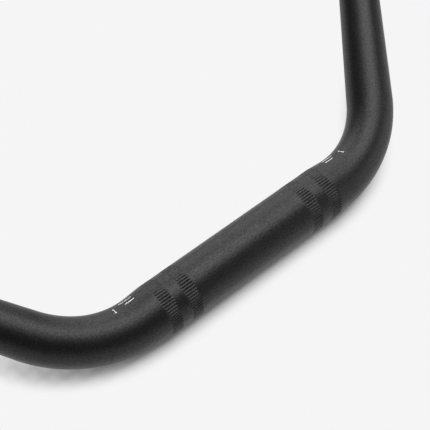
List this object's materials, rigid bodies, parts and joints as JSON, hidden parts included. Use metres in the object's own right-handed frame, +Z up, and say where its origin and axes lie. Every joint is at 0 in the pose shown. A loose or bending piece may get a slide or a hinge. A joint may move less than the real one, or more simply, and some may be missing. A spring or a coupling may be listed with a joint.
{
  "type": "bicycle handlebar",
  "caption": "Riser bicycle handlebar: one bent aluminium tube with a wide knurled clamp zone, rising arms and swept-back grips, black bead-blasted finish.",
  "frame": {"origin": "centre of the clamp zone, on its axis", "axes": "+X along the clamp axis, +Z up from the surface the bar lies on, +Y towards the grips' side"},
  "size_m": [0.8144, 0.2237, 0.0872],
  "materials": {
    "black_anodised": "bead-blasted, black anodised"
  },
  "bodies": {
    "root": {"handlebar": "black_anodised"}
  },
  "joints": []
}
